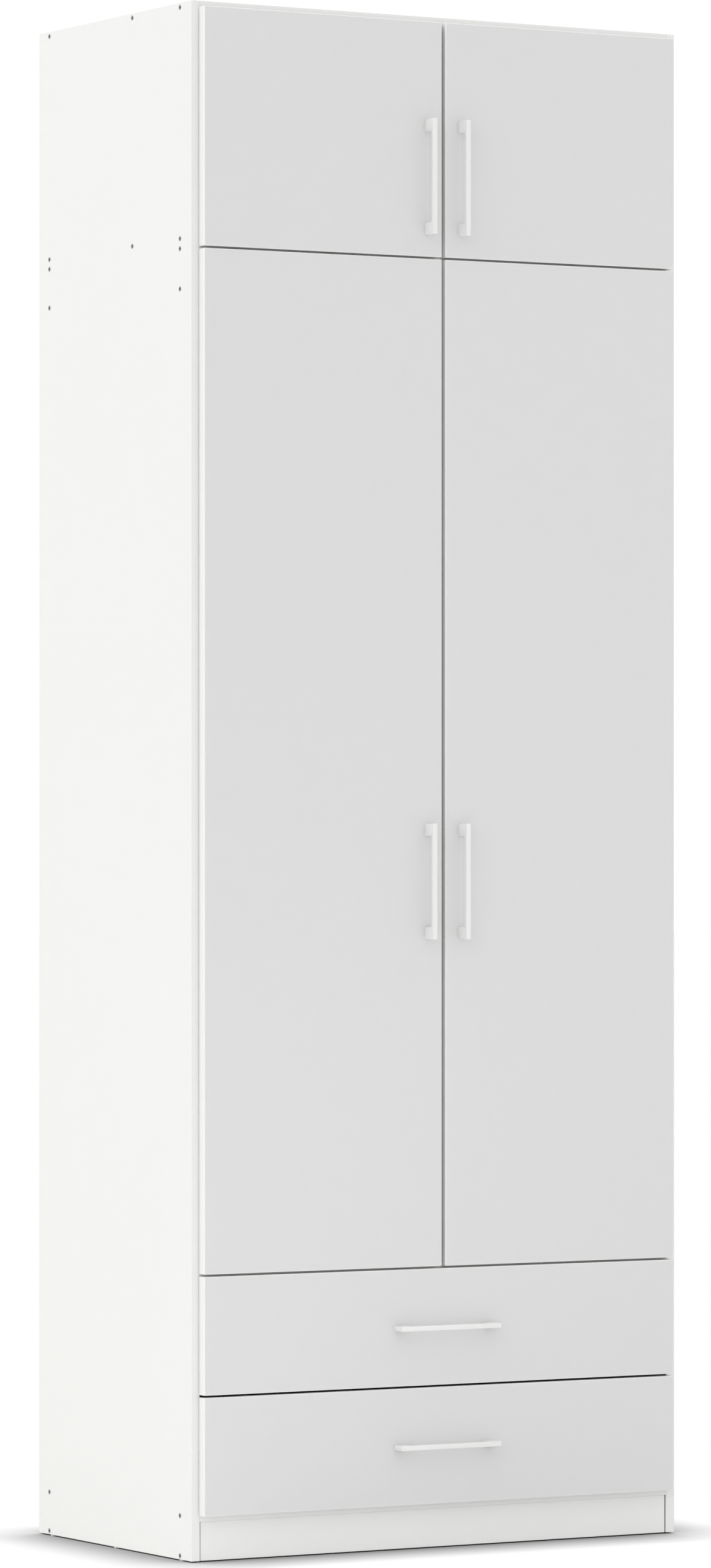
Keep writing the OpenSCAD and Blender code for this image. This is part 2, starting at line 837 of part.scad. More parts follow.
// The rear board stands on the drawer bottom, between the sides.
module drawer_rear(line) {
    color(board_colour) at_drawer(line) difference() {
        box([-drawer_box_x + drawer_t, drawer_rear_y - drawer_t,
             drawer_lift + bottom_groove_up + drawer_bottom_t],
            [drawer_box_x - drawer_t, drawer_rear_y, drawer_lift + drawer_side_h]);
        for (side = ["left", "right"]) sided(side) at_rear_screws()
            rod_x(screw_r + fit, rear_screw_len + shelf_fit);
    }
}

module drawer_bottom(line) {
    color([0.93, 0.93, 0.92]) at_drawer(line) bottom_space(0);
}

// The section of the left-hand drawer member, an inner channel with flared edges.
module drawer_runner() {
    inner = -drawer_box_x;
    outer = -inner_x + runner_wall + runner_play;
    translate([0, 0, drawer_lift + runner_up]) {
        difference() {
            box([inner - runner_wall, runner_y, -inner_half], [inner, runner_y + runner_len, inner_half]);
            for (y = member_screw_y) translate([inner - runner_wall - 1, y, 0])
                rod_x(small_screw_r, runner_wall + 2);
        }
        for (s = [0, 1]) mirror([0, 0, s]) {
            box([outer, runner_y, inner_half - runner_wall], [inner, runner_y + runner_len, inner_half]);
            box([outer, runner_y, inner_half - runner_wall],
                [outer + runner_wall, runner_y + runner_len, flare_half]);
        }
    }
}

// The left-hand cabinet member, an outer channel with lips.
module cabinet_runner() {
    translate([0, 0, drawer_lift + runner_up]) {
        difference() {
            box([-inner_x, runner_y, -runner_h / 2],
                [-inner_x + runner_wall, runner_y + runner_len, runner_h / 2]);
            for (y = runner_screw_y) translate([-inner_x - 1, y, 0])
                rod_x(small_screw_r, runner_wall + 2);
        }
        for (s = [0, 1]) mirror([0, 0, s]) {
            box([-inner_x, runner_y, runner_h / 2 - runner_wall],
                [-inner_x + runner_depth, runner_y + runner_len, runner_h / 2]);
            box([-inner_x + runner_depth - runner_wall, runner_y, runner_h / 2 - runner_lip],
                [-inner_x + runner_depth, runner_y + runner_len, runner_h / 2]);
        }
    }
}

module runners_fixed() {
    color(steel_colour) for (line = [line_bottom, line_drawers]) at_drawer(line)
        for (side = ["left", "right"]) sided(side) cabinet_runner();
}

module drawer_runners(line) {
    color(steel_colour) at_drawer(line) for (side = ["left", "right"]) sided(side) drawer_runner();
}

module drawer_handle(line) {
    color(handle_colour) at_drawer(line) translate([0, front_face_y, drawer_pitch / 2])
        rotate([0, 90, 0]) pull_handle();
}

// Handle screws, cam locks with their bolts, runner screws and the screws into the rear board.
module drawer_fixings(line) {
    color(steel_colour) at_drawer(line) {
        translate([0, front_face_y, drawer_pitch / 2]) rotate([0, 90, 0]) at_handle_screws() handle_screw();
        for (side = ["left", "right"]) sided(side) {
            at_drawer_cams() {
                difference() {
                    translate([-drawer_cam_depth, cam_in, 0]) rod_x(cam_r, drawer_cam_depth);
                    translate([-drawer_t / 2, 0, 0]) rod_y(bolt_r + fit, cam_in + 1);
                }
                translate([-drawer_t / 2, -bolt_depth + fit, 0]) rod_y(bolt_r, cam_in + bolt_depth - fit);
            }
            for (y = member_screw_y)
                translate([-drawer_box_x - runner_wall, y, drawer_lift + runner_up])
                    wood_screw_x(small_screw_r, member_screw_len, small_head_r, small_head_t);
            at_rear_screws() difference() {
                union() {
                    rod_x(screw_head_r, screw_head_t);
                    rod_x(screw_r, rear_screw_len);
                }
                hex_socket(socket_r);
            }
        }
    }
}

module drawer_front_upper() { drawer_front(line_drawers); }
module drawer_side_left_upper() { drawer_side("left", line_drawers); }
module drawer_side_right_upper() { drawer_side("right", line_drawers); }
module drawer_rear_upper() { drawer_rear(line_drawers); }
module drawer_bottom_upper() { drawer_bottom(line_drawers); }
module drawer_runners_upper() { drawer_runners(line_drawers); }
module handle_drawer_upper() { drawer_handle(line_drawers); }
module drawer_fixings_upper() { drawer_fixings(line_drawers); }

module drawer_front_lower() { drawer_front(line_bottom); }
module drawer_side_left_lower() { drawer_side("left", line_bottom); }
module drawer_side_right_lower() { drawer_side("right", line_bottom); }
module drawer_rear_lower() { drawer_rear(line_bottom); }
module drawer_bottom_lower() { drawer_bottom(line_bottom); }
module drawer_runners_lower() { drawer_runners(line_bottom); }
module handle_drawer_lower() { drawer_handle(line_bottom); }
module drawer_fixings_lower() { drawer_fixings(line_bottom); }

// ---------------------------------------------------------------- output

side_panel_left();
side_panel_right();
top_panel();
top_box_floor();
main_top_panel();
drawer_top_panel();
bottom_panel();
upper_rail_front();
upper_rail_rear();
base_rails();
plinth_board();
back_sheet_left();
back_sheet_right();
back_joint_strip();
hat_shelf();
clothes_rail();
rail_sockets();
shelf_fittings();
confirmat_screws();
fitting_screws();
floor_glides();
wall_brackets();
hinge_arms();
runners_fixed();
door_main_left();
door_main_right();
door_top_left();
door_top_right();
handle_main_left();
handle_main_right();
handle_top_left();
handle_top_right();
cups_main_left();
cups_main_right();
cups_top_left();
cups_top_right();
door_screws_main_left();
door_screws_main_right();
door_screws_top_left();
door_screws_top_right();
links_main_left();
links_main_right();
links_top_left();
links_top_right();
drawer_front_upper();
drawer_side_left_upper();
drawer_side_right_upper();
drawer_rear_upper();
drawer_bottom_upper();
drawer_runners_upper();
handle_drawer_upper();
drawer_fixings_upper();
drawer_front_lower();
drawer_side_left_lower();
drawer_side_right_lower();
drawer_rear_lower();
drawer_bottom_lower();
drawer_runners_lower();
handle_drawer_lower();
drawer_fixings_lower();
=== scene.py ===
"""Looks of a tall white wardrobe: a top box, two main doors, two wide drawers and a plinth.

Boards are bevelled and edge banded, handles are modelled anew, fittings get broken arrises, and
every surface has a finish named for its real material. Sizes are in metres unless a name ends
in _mm.
"""

from __future__ import annotations

import logging
import math
from dataclasses import dataclass
from enum import Enum

import bmesh
import bpy
from mathutils import Euler, Matrix, Vector
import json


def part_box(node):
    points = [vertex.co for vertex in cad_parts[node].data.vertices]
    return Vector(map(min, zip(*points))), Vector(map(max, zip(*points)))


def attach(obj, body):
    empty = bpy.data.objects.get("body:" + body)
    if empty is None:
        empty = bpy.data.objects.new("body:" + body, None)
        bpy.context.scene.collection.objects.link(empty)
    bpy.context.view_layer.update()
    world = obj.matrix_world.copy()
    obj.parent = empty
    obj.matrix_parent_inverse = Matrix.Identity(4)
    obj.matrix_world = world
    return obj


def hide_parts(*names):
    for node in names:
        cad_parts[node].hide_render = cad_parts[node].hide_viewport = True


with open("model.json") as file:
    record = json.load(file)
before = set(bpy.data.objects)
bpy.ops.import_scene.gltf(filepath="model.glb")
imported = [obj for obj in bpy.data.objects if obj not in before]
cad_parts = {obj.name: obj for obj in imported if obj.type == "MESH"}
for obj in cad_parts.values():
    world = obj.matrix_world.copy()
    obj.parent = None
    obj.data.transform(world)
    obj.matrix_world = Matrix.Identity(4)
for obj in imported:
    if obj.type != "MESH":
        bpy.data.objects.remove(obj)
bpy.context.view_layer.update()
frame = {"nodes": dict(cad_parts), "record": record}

LOG = logging.getLogger("wardrobe")
MM = 0.001

SAME_POINT_MM = 0.01
SAME_PLANE_MM = 0.02
FLAT_DEGREES = 0.3
ROUND_DEGREES = 35.0

# A face belongs to a side of its board if its middle is this near, past the arris, and if this
# share of its normal points that way. A wide face is larger than WIDE_FACE, in square metres.
SIDE_SLACK_MM = 0.05
SIDE_FACING = 0.3
WIDE_FACE = 1e-3


# ---------------------------------------------------------------- small helpers


def hex_colour(code: str) -> tuple[float, float, float, float]:
    """Turns an sRGB hex colour into linear light.

    Args:
        code: Six hex digits, such as "F4F4F2".

    Returns:
        Red, green, blue and an alpha of 1, in linear light.
    """
    channels = [int(code[i : i + 2], 16) / 255 for i in (0, 2, 4)]
    linear = [c / 12.92 if c <= 0.04045 else ((c + 0.055) / 1.055) ** 2.4 for c in channels]
    return (*linear, 1.0)


def add_node(
    tree: bpy.types.NodeTree,
    kind: str,
    settings: dict[str, object] | None = None,
    inputs: dict[str | int, object] | None = None,
) -> bpy.types.Node:
    """Adds a node, sets it up and links it.

    Args:
        tree: The node tree to add to.
        kind: The node's type, such as "ShaderNodeTexNoise".
        settings: The node's own properties by name.
        inputs: Sockets by name or number. A value is set on the socket, and an output socket
            is linked to it.

    Returns:
        The new node.
    """
    node = tree.nodes.new(kind)
    for name, value in (settings or {}).items():
        setattr(node, name, value)
    for name, value in (inputs or {}).items():
        if isinstance(value, bpy.types.NodeSocket):
            tree.links.new(value, node.inputs[name])
        else:
            node.inputs[name].default_value = value
    return node


def body_of(node: str) -> str:
    """Returns the name of the rigid body that a CAD node belongs to."""
    groups = frame["record"]["behaviour"]["bodies"]
    return next(body for body, members in groups.items() if node in members)


def cad_copy(node: str) -> bmesh.types.BMesh:
    """Copies a CAD node's mesh and joins its loose triangles into whole faces.

    Args:
        node: The CAD node's name.

    Returns:
        The copy, with flat regions merged into single faces.
    """
    bm = bmesh.new()
    bm.from_mesh(frame["nodes"][node].data)
    for face in bm.faces:
        face.material_index = 0
        face.smooth = False
    bmesh.ops.remove_doubles(bm, verts=bm.verts, dist=SAME_POINT_MM * MM)
    bmesh.ops.dissolve_limit(
        bm,
        angle_limit=math.radians(FLAT_DEGREES),
        use_dissolve_boundaries=False,
        verts=bm.verts,
        edges=bm.edges,
        delimit={"NORMAL"},
    )
    return bm


def round_arrises(
    bm: bmesh.types.BMesh, edges: list[bmesh.types.BMEdge], width_mm: float, steps: int
) -> None:
    """Bevels edges to a rounded arris.

    Args:
        bm: The mesh, changed in place.
        edges: The edges to bevel.
        width_mm: Width of the arris on each face beside it.
        steps: Facets across the arris.
    """
    bmesh.ops.bevel(
        bm,
        geom=edges,
        offset=width_mm * MM,
        offset_type="OFFSET",
        affect="EDGES",
        segments=steps,
        profile=0.5,
        material=-1,
        clamp_overlap=True,
    )


def finish_piece(
    bm: bmesh.types.BMesh,
    name: str,
    nodes: list[str],
    materials: list[bpy.types.Material],
    smooth_angle: float | None = None,
) -> bpy.types.Object:
    """Turns a bmesh into an object that stands for its CAD nodes and rides on their body.

    Args:
        bm: The shape, in place in the wardrobe's frame. It is freed.
        name: The object's name.
        nodes: The CAD nodes that it stands for, all in one body.
        materials: The object's materials, in the order of the faces' indices.
        smooth_angle: Faces that meet at less than this many degrees are shaded smooth.

    Returns:
        The new object.
    """
    mesh = bpy.data.meshes.new(name)
    bm.to_mesh(mesh)
    bm.free()
    for material in materials:
        mesh.materials.append(material)
    if smooth_angle is not None:
        mesh.shade_smooth()
        mesh.set_sharp_from_angle(angle=math.radians(smooth_angle))
    piece = bpy.data.objects.new(name, mesh)
    bpy.context.scene.collection.objects.link(piece)
    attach(piece, body_of(nodes[0]))
    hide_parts(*nodes)
    return piece


# ---------------------------------------------------------------- finishes


class Grain(Enum):
    """The kinds of fine surface pattern."""

    PEARL = "pearl"
    FLAKES = "flakes"
    FIBRE = "fibre"
    PEEL = "peel"
    SPANGLE = "spangle"
    DRAWN = "drawn"


NOISE_DETAIL = {Grain.PEARL: 2.0, Grain.PEEL: 1.0, Grain.FIBRE: 5.0, Grain.DRAWN: 4.0}
NOISE_ROUGHNESS = 0.55
NOISE_LOW, NOISE_HIGH = 0.25, 0.75  # the noises seldom leave this range
PATTERN_SHARE = 0.5  # the clouds have the rest


@dataclass(frozen=True)
class Finish:
    """A surface finish that makes one procedural material.

    Args:
        name: The material's name.
        grain: The kind of fine pattern.
        base_hex: Colour where the pattern and the clouds are low.
        cloud_hex: Colour where they are high.
        cloud_mm: Size of the clouds, a slow change of colour over a whole board.
        grain_mm: Size of the fine pattern.
        relief_mm: Height of the fine pattern.
        roughness: Mean roughness.
        spread: How far the roughness wanders to either side.
        metallic: 1 for bare or plated metal.
        ior: Refractive index.
        coat: Weight of a clear top coat.
        stretch: How far the fine pattern is squeezed along each axis.
        coat_roughness: Roughness of the top coat.
    """

    name: str
    grain: Grain
    base_hex: str
    cloud_hex: str
    cloud_mm: float
    grain_mm: float
    relief_mm: float
    roughness: float
    spread: float
    metallic: float = 0.0
    ior: float = 1.5
    coat: float = 0.0
    stretch: tuple[float, float, float] = (1.0, 1.0, 1.0)
    coat_roughness: float = 0.25

    def _pattern(
        self, tree: bpy.types.NodeTree, place: bpy.types.NodeSocket
    ) -> bpy.types.NodeSocket:
        """Adds the fine pattern.

        Args:
            tree: The material's node tree.
            place: The coordinates that the pattern follows, in metres.

        Returns:
            A value from 0 to 1.
        """
        per_metre = 1000.0 / self.grain_mm
        if self.grain in (Grain.FLAKES, Grain.SPANGLE):
            cells = add_node(
                tree,
                "ShaderNodeTexVoronoi",
                {"feature": "F1", "distance": "EUCLIDEAN"},
                {"Vector": place, "Scale": per_metre, "Randomness": 1.0},
            )
            grey = add_node(tree, "ShaderNodeSeparateColor", {}, {"Color": cells.outputs["Color"]})
            return grey.outputs["Red"]
        noise = add_node(
            tree,
            "ShaderNodeTexNoise",
            {"noise_dimensions": "3D"},
            {
                "Vector": place,
                "Scale": per_metre,
                "Detail": NOISE_DETAIL[self.grain],
                "Roughness": NOISE_ROUGHNESS,
            },
        )
        return noise.outputs["Fac"]

    def material(self) -> bpy.types.Material:
        """Builds the material.

        Returns:
            The material, or the one that was built before under the same name.
        """
        if self.name in bpy.data.materials:
            return bpy.data.materials[self.name]
        made = bpy.data.materials.new(self.name)
        made.use_nodes = True
        tree = made.node_tree
        tree.nodes.clear()
        where = add_node(tree, "ShaderNodeTexCoord")
        place = add_node(
            tree,
            "ShaderNodeMapping",
            {"vector_type": "POINT"},
            {"Vector": where.outputs["Object"], "Scale": self.stretch},
        ).outputs["Vector"]
        pattern = self._pattern(tree, place)
        clouds = add_node(
            tree,
            "ShaderNodeTexNoise",
            {"noise_dimensions": "3D"},
            {"Vector": where.outputs["Object"], "Scale": 1000.0 / self.cloud_mm, "Detail": 2.0},
        ).outputs["Fac"]
        share = add_node(
            tree,
            "ShaderNodeMath",
            {"operation": "MULTIPLY_ADD", "use_clamp": True},
            {0: pattern, 1: PATTERN_SHARE, 2: 0.0},
        ).outputs["Value"]
        both = add_node(
            tree,
            "ShaderNodeMath",
            {"operation": "MULTIPLY_ADD", "use_clamp": True},
            {0: clouds, 1: 1.0 - PATTERN_SHARE, 2: share},
        ).outputs["Value"]
        colour = add_node(
            tree,
            "ShaderNodeMix",
            {"data_type": "RGBA"},
            {"Factor": both, 6: hex_colour(self.base_hex), 7: hex_colour(self.cloud_hex)},
        ).outputs[2]
        rough = add_node(
            tree,
            "ShaderNodeMapRange",
            {"clamp": True},
            {
                "Value": both,
                "From Min": NOISE_LOW,
                "From Max": NOISE_HIGH,
                "To Min": self.roughness - self.spread,
                "To Max": self.roughness + self.spread,
            },
        ).outputs["Result"]
        relief = add_node(
            tree,
            "ShaderNodeBump",
            {},
            {"Height": pattern, "Strength": 1.0, "Distance": self.relief_mm * MM},
        ).outputs["Normal"]
        shader = add_node(
            tree,
            "ShaderNodeBsdfPrincipled",
            {},
            {
                "Base Color": colour,
                "Roughness": rough,
                "Normal": relief,
                "Metallic": self.metallic,
                "IOR": self.ior,
                "Coat Weight": self.coat,
                "Coat Roughness": self.coat_roughness,
            },
        )
        add_node(tree, "ShaderNodeOutputMaterial", {}, {"Surface": shader.outputs["BSDF"]})
        return made


# White melamine: resin-soaked paper pressed hot onto chipboard against a steel plate with a
# fine pearl texture. It shows a faint, even grain and a soft, wide sheen. The real grain is
# about 0.4 mm across, too fine to show, so it is drawn at 1.6 mm.
MELAMINE = Finish(
    "melamine_faced_chipboard", Grain.PEARL, "E0E0DE", "DDDDDB", 420.0, 1.6, 0.012, 0.42, 0.03
)

# The fronts are cut from the same kind of board, a shade greyer and a touch smoother than the
# carcass boards.
MELAMINE_FRONT = Finish(
    "melamine_front", Grain.PEARL, "D4D4D4", "D2D2D2", 520.0, 1.4, 0.010, 0.40, 0.03
)

# ABS edge band: extruded strip, glued on hot and scraped flush, with a radius milled on it. It is
# a little smoother and whiter than the face, and its milled arris catches the light.
ABS_BAND = Finish("abs_edge_band", Grain.PEEL, "E5E5E4", "E3E3E2", 300.0, 2.4, 0.006, 0.36, 0.03)

# Plinth: chipboard wrapped in printed foil, a little glossier than the melamine, so scuffs and
# mop water wipe off. Its colour is a shade whiter than the melamine: painted light, which lifts
# the plinth out of the shade of its recess under the drawers.
PLINTH_FOIL_PAINTED_LIGHT = Finish(
    "foil_plinth_painted_light", Grain.PEARL, "E6E6E5", "E4E4E3", 380.0, 1.8, 0.008, 0.36, 0.03
)

# Raw chipboard: sawn edge of pressed wood chips in resin, ochre flakes of 1 to 4 mm, dry and
# rough. It shows only where no band was glued.
CHIPBOARD = Finish(
    "raw_chipboard_edge", Grain.FLAKES, "C9A877", "A9824F", 60.0, 2.6, 0.25, 0.85, 0.08
)

# Lacquered fibreboard: thin hardboard rolled with white lacquer on its good side. The rollers
# leave a slight orange peel.
LACQUERED_BOARD = Finish(
    "lacquered_fibreboard", Grain.PEEL, "E6E6E3", "E1E1DE", 350.0, 2.0, 0.015, 0.50, 0.04
)

# The same sheet's raw rear: brown pressed fibres with a fuzzy, matt surface.
FIBREBOARD_REAR = Finish(
    "raw_fibreboard", Grain.FIBRE, "8F6A45", "7B5837", 160.0, 1.2, 0.05, 0.80, 0.06
)

# Powder coat on a steel bar: sprayed dry and baked, so it flows into a fine orange peel.
POWDER_COAT = Finish(
    "white_powder_coat", Grain.PEEL, "E4E4E3", "E1E1E0", 90.0, 1.8, 0.010, 0.34, 0.03, coat=0.15
)

# Zinc-plated pressed steel: bright grey with the faint spangle that the bath leaves.
ZINC = Finish(
    "zinc_plated_steel", Grain.SPANGLE, "C6C9CC", "B6BABE", 40.0, 1.5, 0.004, 0.34, 0.07, 1.0
)

# Nickel-plated hinges: pressed steel, barrel polished and plated. Bright, a little warm, and
# with soft, rounded arrises.
NICKEL = Finish(
    "nickel_plated_steel", Grain.DRAWN, "D8D5D0", "CCC9C4", 30.0, 0.9, 0.002, 0.26, 0.05, 1.0
)

# Screws: zinc-plated too, but rumbled in a drum, so duller and darker.
SCREW_ZINC = Finish(
    "rumbled_zinc_screw", Grain.SPANGLE, "9DA0A4", "8C8F94", 12.0, 0.8, 0.004, 0.42, 0.08, 1.0
)

# Chromed tube: drawn steel, polished and plated. The drawing leaves hairlines along it.
CHROME_TUBE = Finish(
    "chromed_drawn_tube", Grain.DRAWN, "D9DBDE", "CFD2D6", 200.0, 0.6, 0.001, 0.14, 0.03, 1.0,
    stretch=(0.02, 1.0, 1.0),
)

# Polypropylene, injection moulded against a spark-eroded tool: matt and even.
MOULDED_PLASTIC = Finish(
    "moulded_polypropylene", Grain.PEEL, "E4E4E2", "DFDFDD", 60.0, 0.9, 0.010, 0.48, 0.04
)


# ---------------------------------------------------------------- boards


class Side(Enum):
    """The six faces of a board's box, as axis number and sign."""

    LEFT = (0, -1)
    RIGHT = (0, 1)
    FRONT = (1, -1)
    REAR = (1, 1)
    UNDER = (2, -1)
    TOP = (2, 1)


@dataclass
class Board:
    """A cut board with its arrises eased, its good faces and its banded or raw edges.

    Args:
        node: The CAD node.
        faces: The two wide faces.
        banded: Edges that have a glued band.
        face_finish: Finish of the wide faces.
        rear_finish: Finish of the second wide face, where it differs.
        raw_finish: Finish of unbanded edges and of drilled holes.
        band_finish: Finish of the banded edges.
        arris_mm: Width of the eased arris.
        band_mm: Thickness of the band, seen as a rim round the wide faces. 0 draws no rim.
        arris_steps: Facets across the arris.
    """

    node: str
    faces: tuple[Side, Side]
    banded: tuple[Side, ...]
    face_finish: Finish = MELAMINE
    rear_finish: Finish | None = None
    raw_finish: Finish = CHIPBOARD
    band_finish: Finish = ABS_BAND
    arris_mm: float = 0.5
    band_mm: float = 0.0
    arris_steps: int = 2

    def _shells(self, bm: bmesh.types.BMesh) -> list[tuple[Vector, Vector]]:
        """Finds the box of every separate solid in the mesh.

        Args:
            bm: The board's mesh.

        Returns:
            The lowest and highest corner of each solid.
        """
        left = set(bm.verts)
        boxes = []
        while left:
            todo = [left.pop()]
            shell = []
            while todo:
                vert = todo.pop()
                shell.append(vert.co)
                for edge in vert.link_edges:
                    other = edge.other_vert(vert)
                    if other in left:
                        left.discard(other)
                        todo.append(other)
            low = Vector([min(co[i] for co in shell) for i in range(3)])
            high = Vector([max(co[i] for co in shell) for i in range(3)])
            boxes.append((low, high))
        return boxes

    def _on(self, co: Vector, box: tuple[Vector, Vector]) -> set[Side]:
        """Finds the sides of a solid's box that a point lies on.

        Args:
            co: The point.
            box: The solid's lowest and highest corner.

        Returns:
            The sides, none for a point inside the box.
        """
        near = SAME_PLANE_MM * MM
        return {
            side
            for side in Side
            if abs(co[side.value[0]] - box[side.value[1] > 0][side.value[0]]) < near
        }

    def _inside(self, co: Vector, box: tuple[Vector, Vector]) -> bool:
        """Tells whether a point lies in or on a solid's box."""
        near = SAME_PLANE_MM * MM
        return all(box[0][i] - near <= co[i] <= box[1][i] + near for i in range(3))

    def _ease(self, bm: bmesh.types.BMesh, boxes: list[tuple[Vector, Vector]]) -> None:
        """Bevels the long outer arrises of every solid.

        Args:
            bm: The board's mesh, changed in place.
            boxes: The solids' boxes.
        """
        arrises = []
        for edge in bm.edges:
            a, b = (v.co for v in edge.verts)
            box = next((x for x in boxes if self._inside(a, x) and self._inside(b, x)), None)
            if box and len(self._on(a, box) & self._on(b, box)) >= 2:
                arrises.append(edge)
        round_arrises(bm, arrises, self.arris_mm, self.arris_steps)

    def build(self) -> bpy.types.Object:
        """Builds the board.

        Returns:
            The finished object.
        """
        bm = cad_copy(self.node)
        boxes = self._shells(bm)
        self._ease(bm, boxes)
        bm.normal_update()
        rear = self.rear_finish or self.face_finish
        finishes = [self.face_finish, rear, self.band_finish, self.raw_finish]
        near = (self.arris_mm + SIDE_SLACK_MM) * MM
        for face in bm.faces:
            middle = face.calc_center_median()
            box = next((x for x in boxes if self._inside(middle, x)), boxes[0])
            held = [
                side
                for side in Side
                if abs(middle[side.value[0]] - box[side.value[1] > 0][side.value[0]]) < near
                and face.normal[side.value[0]] * side.value[1] > SIDE_FACING
            ]
            if any(side in self.banded for side in held):
                face.material_index = 2
            elif self.faces[0] in held:
                face.material_index = 0
            elif self.faces[1] in held:
                face.material_index = 1
            else:
                face.material_index = 3
        if self.band_mm:
            for index, side in enumerate(self.faces):
                wide = [
                    face
                    for face in bm.faces
                    if face.material_index == index and face.calc_area() > WIDE_FACE
                ]
                rim = bmesh.ops.inset_region(
                    bm, faces=wide, thickness=self.band_mm * MM, use_even_offset=True
                )["faces"]
                for face in rim:
                    face.material_index = 2
        return finish_piece(
            bm, f"{self.node}_board", [self.node], [finish.material() for finish in finishes]
        )


def dress(node: str, finish: Finish) -> bpy.types.Object:
    """Gives a CAD node its finish.

    Args:
        node: The CAD node's name.
        finish: The finish.

    Returns:
        The CAD node's object.
    """
    cad = frame["nodes"][node]
    cad.data.materials.clear()
    cad.data.materials.append(finish.material())
    return cad


def front_board(node: str, band_mm: float, round_mm: float, steps: int = 5) -> Board:
    """Describes a door's or a drawer's front, banded all round.

    Args:
        node: The CAD node.
        band_mm: Thickness of its edge band.
        round_mm: Radius that is milled on the band.
        steps: Facets across the radius.

    Returns:
        The board, not yet built.
    """
    return Board(
        node,
        (Side.FRONT, Side.REAR),
        (Side.LEFT, Side.RIGHT, Side.UNDER, Side.TOP),
        face_finish=MELAMINE_FRONT,
        arris_mm=round_mm,
        band_mm=band_mm - round_mm,
        arris_steps=steps,
    )


def thin_sheet(node: str, faces: tuple[Side, Side], arris_mm: float = 0.2) -> Board:
    """Describes a fibreboard sheet, lacquered on its first face and raw elsewhere.

    Args:
        node: The CAD node.
        faces: The good face and the raw one.
        arris_mm: Width of the eased arris.

    Returns:
        The board, not yet built.
    """
    return Board(
        node,
        faces,
        (),
        face_finish=LACQUERED_BOARD,
        rear_finish=FIBREBOARD_REAR,
        raw_finish=FIBREBOARD_REAR,
        arris_mm=arris_mm,
    )


@dataclass
class Hardware:
    """A metal or moulded fitting: its arrises are broken and its round parts run smooth.

    Args:
        node: The CAD node.
        finish: Its finish.
        arris_mm: Width of the broken arris. 0 leaves the edges sharp.
        sharp_from: Edges that turn by more than this many degrees get an arris.
        shortest_mm: Shorter edges are left, because an arris there would be lost.
        arris_steps: Facets across the arris.
    """

    node: str
    finish: Finish
    arris_mm: float = 0.2
    sharp_from: float = 50.0
    shortest_mm: float = 0.9
    arris_steps: int = 2

    def build(self) -> bpy.types.Object:
        """Builds the fitting.

        Returns:
            The finished object.
        """
        bm = cad_copy(self.node)
        sharp = [
            edge
            for edge in bm.edges
            if len(edge.link_faces) == 2
            and edge.is_convex
            and edge.calc_length() > self.shortest_mm * MM
            and edge.calc_face_angle(0.0) > math.radians(self.sharp_from)
        ]
        if self.arris_mm and sharp:
            round_arrises(bm, sharp, self.arris_mm, self.arris_steps)
        return finish_piece(
            bm, f"{self.node}_part", [self.node], [self.finish.material()], ROUND_DEGREES
        )


# ---------------------------------------------------------------- sub-assemblies


@dataclass
class Carcass:
    """Side panels, fixed cross boards, rails and the plinth.

    Args:
        arris_mm: Width of the boards' eased arris.
    """

    arris_mm: float = 0.8

    def side_panels(self) -> list[bpy.types.Object]:
        """Builds both side panels, banded in front and on top.

        Returns:
            The left panel and the right one.
        """
        return [
            Board(
                f"side_panel_{side}",
                (Side.LEFT, Side.RIGHT),
                (Side.FRONT, Side.TOP),
                arris_mm=self.arris_mm,
            ).build()
            for side in ("left", "right")
        ]

    def cross_boards(self) -> list[bpy.types.Object]:
        """Builds the lying boards, banded on their front edge.

        Returns:
            The boards from the top down.
        """
        names = ("top_panel", "top_box_floor", "main_top_panel", "drawer_top_panel", "bottom_panel")
        return [
            Board(name, (Side.UNDER, Side.TOP), (Side.FRONT,), arris_mm=self.arris_mm).build()
            for name in names
        ]

    def rails(self) -> list[bpy.types.Object]:
        """Builds the standing rails and the plinth, banded along their length.

        Returns:
            The rails, then the plinth.
        """
        names = ("upper_rail_front", "upper_rail_rear", "base_rails")
        rails = [
            Board(
                name, (Side.FRONT, Side.REAR), (Side.UNDER, Side.TOP), arris_mm=self.arris_mm
            ).build()
            for name in names
        ]
        # The plinth's whiter colour is painted light against the shade of its recess.
        plinth = Board(
            "plinth_board",
            (Side.FRONT, Side.REAR),
            (Side.LEFT, Side.RIGHT, Side.TOP),
            face_finish=PLINTH_FOIL_PAINTED_LIGHT,
            arris_mm=self.arris_mm,
        ).build()
        return [*rails, plinth]

    def build(self) -> list[bpy.types.Object]:
        """Builds the whole carcass."""
        return self.side_panels() + self.cross_boards() + self.rails()


@dataclass
class BackWall:
    """Two thin sheets, white inside and raw behind, and the strip that joins them.

    Args:
        arris_mm: Width of the sheets' eased arris.
    """

    arris_mm: float = 0.2

    def build(self) -> list[bpy.types.Object]:
        """Builds the sheets and dresses the strip.

        Returns:
            The sheets, then the strip.
        """
        sheets = [
            thin_sheet(f"back_sheet_{side}", (Side.FRONT, Side.REAR), self.arris_mm).build()
            for side in ("left", "right")
        ]
        return [*sheets, dress("back_joint_strip", MOULDED_PLASTIC)]


@dataclass
class Interior:
    """Hat shelf, clothes rail and the fittings that hold them."""

    def build(self) -> list[bpy.types.Object]:
        """Builds the shelf, the rail and what holds them.

        Returns:
            The shelf, then its metal parts.
        """
        shelf = Board("hat_shelf", (Side.UNDER, Side.TOP), (Side.FRONT,)).build()
        return [
            shelf,
            Hardware("clothes_rail", CHROME_TUBE, 0.3).build(),
            Hardware("rail_sockets", ZINC, 0.3).build(),
            Hardware("shelf_fittings", ZINC, 0.15).build(),
        ]


